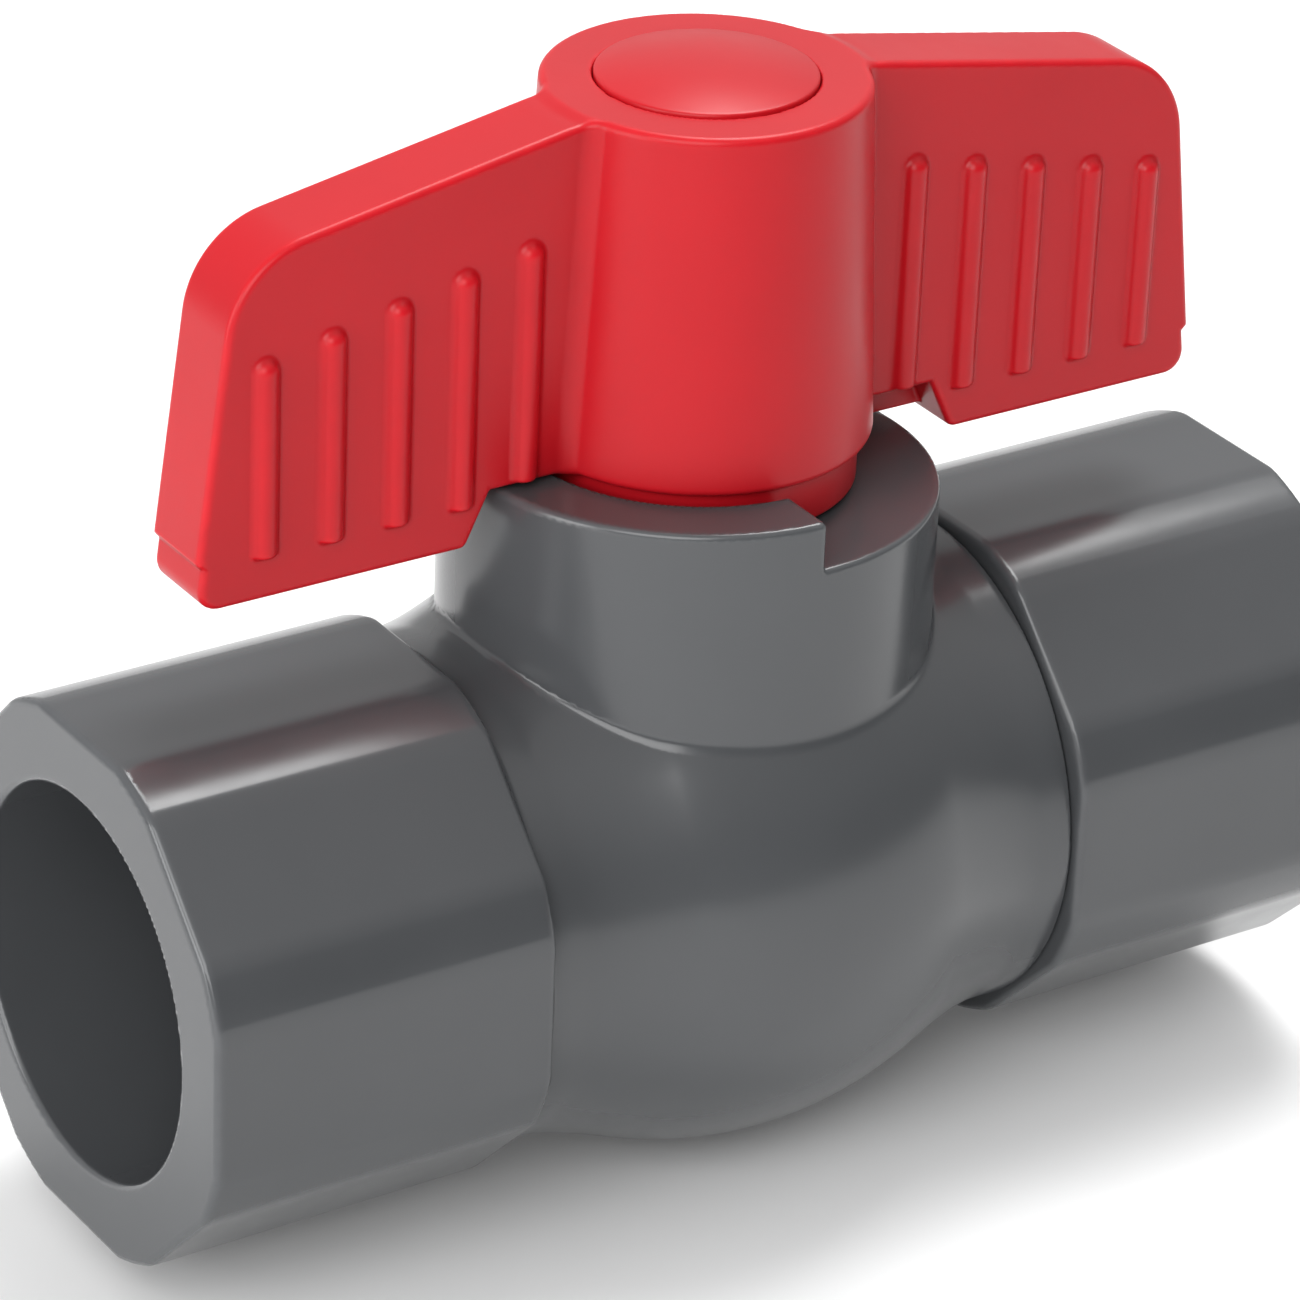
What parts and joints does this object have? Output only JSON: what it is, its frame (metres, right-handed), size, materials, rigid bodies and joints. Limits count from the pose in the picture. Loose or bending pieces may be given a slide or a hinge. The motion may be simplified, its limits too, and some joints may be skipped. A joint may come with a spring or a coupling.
{
  "type": "ball valve",
  "caption": "Compact two-way plastic ball valve with octagonal solvent sockets, a rounded belly and a red butterfly handle.",
  "frame": {"origin": "centre of the bounding box's bottom face; the belly rests on z = 0", "axes": "+X along the pipe, from the moulded-in socket towards the welded-in end connector; +Z along the stem towards the handle"},
  "size_m": [0.0864, 0.0408, 0.0729],
  "materials": {
    "body_plastic": "moulded rigid PVC, semi-gloss dark grey",
    "handle_plastic": "moulded ABS, semi-gloss red",
    "ball_plastic": "polished rigid PVC, grey",
    "seat_plastic": "PTFE, waxy white",
    "seal_rubber": "EPDM, matt black",
    "screw_steel": "stainless steel, turned"
  },
  "bodies": {
    "valve_body": {"main_body": "body_plastic", "end_connector": "body_plastic", "seat_ring_left": "seat_plastic", "seat_ring_right": "seat_plastic", "seat_oring_left": "seal_rubber", "seat_oring_right": "seal_rubber", "body_oring": "seal_rubber"},
    "handle_set": {"stem": "ball_plastic", "stem_thrust_washer": "seat_plastic", "stem_oring_lower": "seal_rubber", "stem_oring_upper": "seal_rubber", "handle": "handle_plastic", "handle_screw": "screw_steel", "screw_washer": "screw_steel", "handle_cap": "handle_plastic"},
    "ball": {"ball": "ball_plastic"}
  },
  "joints": [
    {"name": "handle_turn", "type": "hinge", "parent": "valve_body", "child": "handle_set", "pos_m": [0, 0, 0.0204], "axis": [0, 0, -1], "range_deg": [0, 90]},
    {"name": "ball_turn", "type": "hinge", "parent": "valve_body", "child": "ball", "pos_m": [0, 0, 0.0204], "axis": [0, 0, -1], "range_deg": [0, 90]}
  ],
  "couplings": [
    {"joint": "ball_turn", "follows": "handle_turn", "ratio": 1}
  ]
}
